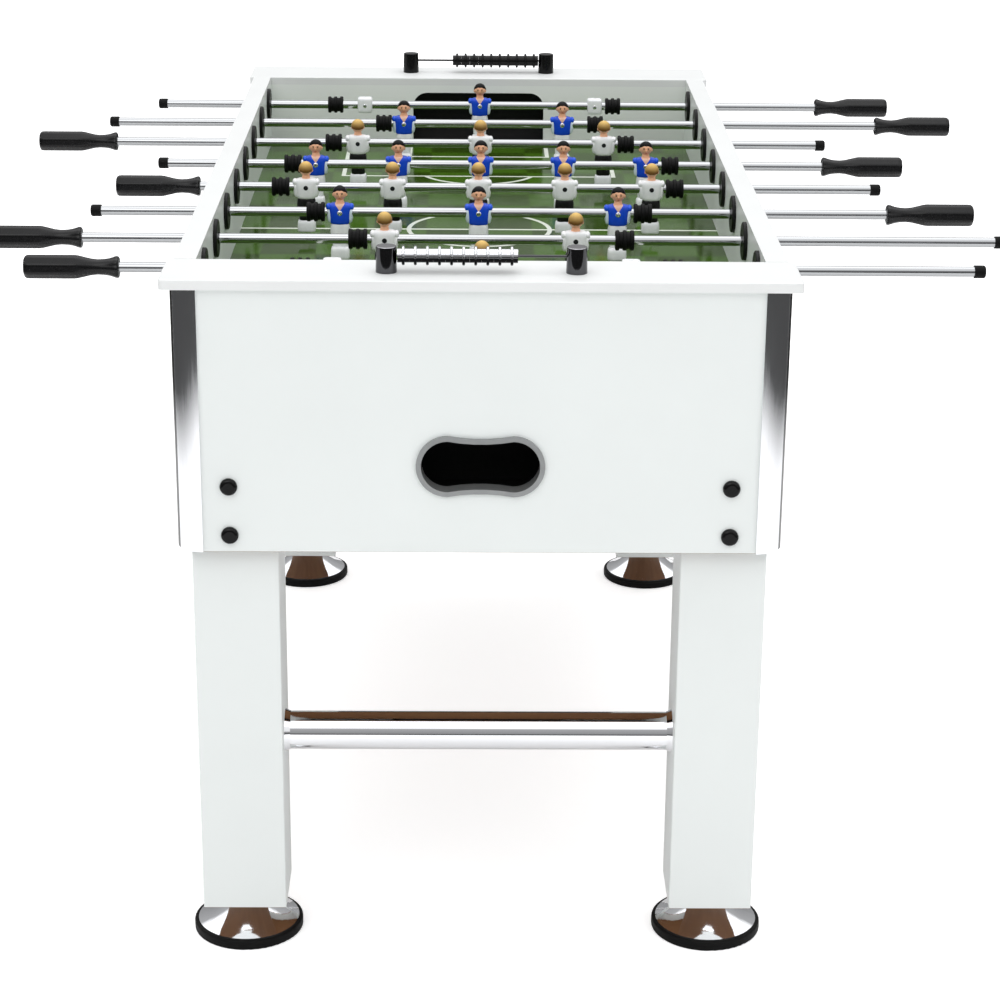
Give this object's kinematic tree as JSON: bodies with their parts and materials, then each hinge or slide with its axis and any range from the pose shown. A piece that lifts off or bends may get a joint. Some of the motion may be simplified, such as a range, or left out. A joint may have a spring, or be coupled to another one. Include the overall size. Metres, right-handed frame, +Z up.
{
  "type": "foosball table",
  "caption": "Free-standing football table with sliding, turning rods of players over a green field, goals with ball returns, score counters, and square legs on bell feet.",
  "frame": {"origin": "on the floor, midway between the four feet", "axes": "+X along the rods, to the blue team's handles; +Y along the table, away from the end with the chrome score counter; +Z up"},
  "size_m": [1.384, 1.4, 0.906],
  "materials": {
    "white_board": "white laminate on fibreboard, smooth satin",
    "inner_board": "pale grey-green laminate, satin",
    "playfield": "glossy printed green board with white lines",
    "black_plastic": "moulded black plastic",
    "black_cap": "glossy black plastic",
    "chrome": "bright chrome",
    "grey_trim": "silver-grey plastic",
    "rubber": "black rubber",
    "nylon": "natural nylon",
    "rod_steel": "chromed steel tube",
    "handle_black": "black plastic, semi gloss",
    "blue_player": "painted moulded plastic: blue shirt, white shorts",
    "white_player": "painted moulded plastic: white shirt, black shorts"
  },
  "bodies": {
    "table": {"playfield": "playfield", "goal_walls": "inner_board", "goal_pockets": "black_plastic", "top_rails": "white_board", "side_panel_left": "white_board", "side_panel_right": "white_board", "end_panel_front": "white_board", "end_panel_back": "white_board", "corner_profiles": "chrome", "ball_return_trims": "grey_trim", "legs": "white_board", "leg_bolts": "black_cap", "foot_rings": "rubber", "foot_bells": "chrome", "stretchers": "chrome", "rod_bushes": "black_plastic", "score_frame_front": "chrome", "score_frame_back": "black_cap"},
    "score_beads_front": {"score_beads_front": "chrome"},
    "score_beads_back": {"score_beads_back": "black_cap"},
    "rod_1_bearing": {"rod_1_liners": "nylon"},
    "rod_1": {"rod_1_tube": "rod_steel", "rod_1_handle": "handle_black", "rod_1_rubber": "rubber", "rod_1_men": "blue_player"},
    "rod_2_bearing": {"rod_2_liners": "nylon"},
    "rod_2": {"rod_2_tube": "rod_steel", "rod_2_handle": "handle_black", "rod_2_rubber": "rubber", "rod_2_men": "blue_player"},
    "rod_3_bearing": {"rod_3_liners": "nylon"},
    "rod_3": {"rod_3_tube": "rod_steel", "rod_3_handle": "handle_black", "rod_3_rubber": "rubber", "rod_3_men": "white_player"},
    "rod_4_bearing": {"rod_4_liners": "nylon"},
    "rod_4": {"rod_4_tube": "rod_steel", "rod_4_handle": "handle_black", "rod_4_rubber": "rubber", "rod_4_men": "blue_player"},
    "rod_5_bearing": {"rod_5_liners": "nylon"},
    "rod_5": {"rod_5_tube": "rod_steel", "rod_5_handle": "handle_black", "rod_5_rubber": "rubber", "rod_5_men": "white_player"},
    "rod_6_bearing": {"rod_6_liners": "nylon"},
    "rod_6": {"rod_6_tube": "rod_steel", "rod_6_handle": "handle_black", "rod_6_rubber": "rubber", "rod_6_men": "blue_player"},
    "rod_7_bearing": {"rod_7_liners": "nylon"},
    "rod_7": {"rod_7_tube": "rod_steel", "rod_7_handle": "handle_black", "rod_7_rubber": "rubber", "rod_7_men": "white_player"},
    "rod_8_bearing": {"rod_8_liners": "nylon"},
    "rod_8": {"rod_8_tube": "rod_steel", "rod_8_handle": "handle_black", "rod_8_rubber": "rubber", "rod_8_men": "white_player"}
  },
  "joints": [
    {"name": "rod_1_turn", "type": "hinge", "parent": "table", "child": "rod_1_bearing", "pos_m": [0, 0.525, 0.845], "axis": [1, 0, 0], "continuous": true},
    {"name": "rod_1_slide", "type": "slide", "parent": "rod_1_bearing", "child": "rod_1", "axis": [1, 0, 0], "range_m": [-0.0915, 0.1055]},
    {"name": "rod_2_turn", "type": "hinge", "parent": "table", "child": "rod_2_bearing", "pos_m": [0, 0.375, 0.845], "axis": [1, 0, 0], "continuous": true},
    {"name": "rod_2_slide", "type": "slide", "parent": "rod_2_bearing", "child": "rod_2", "axis": [1, 0, 0], "range_m": [-0.1735, 0.1405]},
    {"name": "rod_3_turn", "type": "hinge", "parent": "table", "child": "rod_3_bearing", "pos_m": [0, 0.225, 0.845], "axis": [1, 0, 0], "continuous": true},
    {"name": "rod_3_slide", "type": "slide", "parent": "rod_3_bearing", "child": "rod_3", "axis": [1, 0, 0], "range_m": [-0.1035, 0.1015]},
    {"name": "rod_4_turn", "type": "hinge", "parent": "table", "child": "rod_4_bearing", "pos_m": [0, 0.075, 0.845], "axis": [1, 0, 0], "continuous": true},
    {"name": "rod_4_slide", "type": "slide", "parent": "rod_4_bearing", "child": "rod_4", "axis": [1, 0, 0], "range_m": [-0.0525, 0.0465]},
    {"name": "rod_5_turn", "type": "hinge", "parent": "table", "child": "rod_5_bearing", "pos_m": [0, -0.075, 0.845], "axis": [1, 0, 0], "continuous": true},
    {"name": "rod_5_slide", "type": "slide", "parent": "rod_5_bearing", "child": "rod_5", "axis": [1, 0, 0], "range_m": [-0.0455, 0.0175]},
    {"name": "rod_6_turn", "type": "hinge", "parent": "table", "child": "rod_6_bearing", "pos_m": [0, -0.225, 0.845], "axis": [1, 0, 0], "continuous": true},
    {"name": "rod_6_slide", "type": "slide", "parent": "rod_6_bearing", "child": "rod_6", "axis": [1, 0, 0], "range_m": [-0.1025, 0.1045]},
    {"name": "rod_7_turn", "type": "hinge", "parent": "table", "child": "rod_7_bearing", "pos_m": [0, -0.375, 0.845], "axis": [1, 0, 0], "continuous": true},
    {"name": "rod_7_slide", "type": "slide", "parent": "rod_7_bearing", "child": "rod_7", "axis": [1, 0, 0], "range_m": [-0.1645, 0.137]},
    {"name": "rod_8_turn", "type": "hinge", "parent": "table", "child": "rod_8_bearing", "pos_m": [0, -0.525, 0.845], "axis": [1, 0, 0], "continuous": true},
    {"name": "rod_8_slide", "type": "slide", "parent": "rod_8_bearing", "child": "rod_8", "axis": [1, 0, 0], "range_m": [-0.1005, 0.071]},
    {"name": "score_front_slide", "type": "slide", "parent": "table", "child": "score_beads_front", "axis": [1, 0, 0], "range_m": [0, 0.0558]},
    {"name": "score_back_slide", "type": "slide", "parent": "table", "child": "score_beads_back", "axis": [1, 0, 0], "range_m": [-0.0558, 0]}
  ]
}
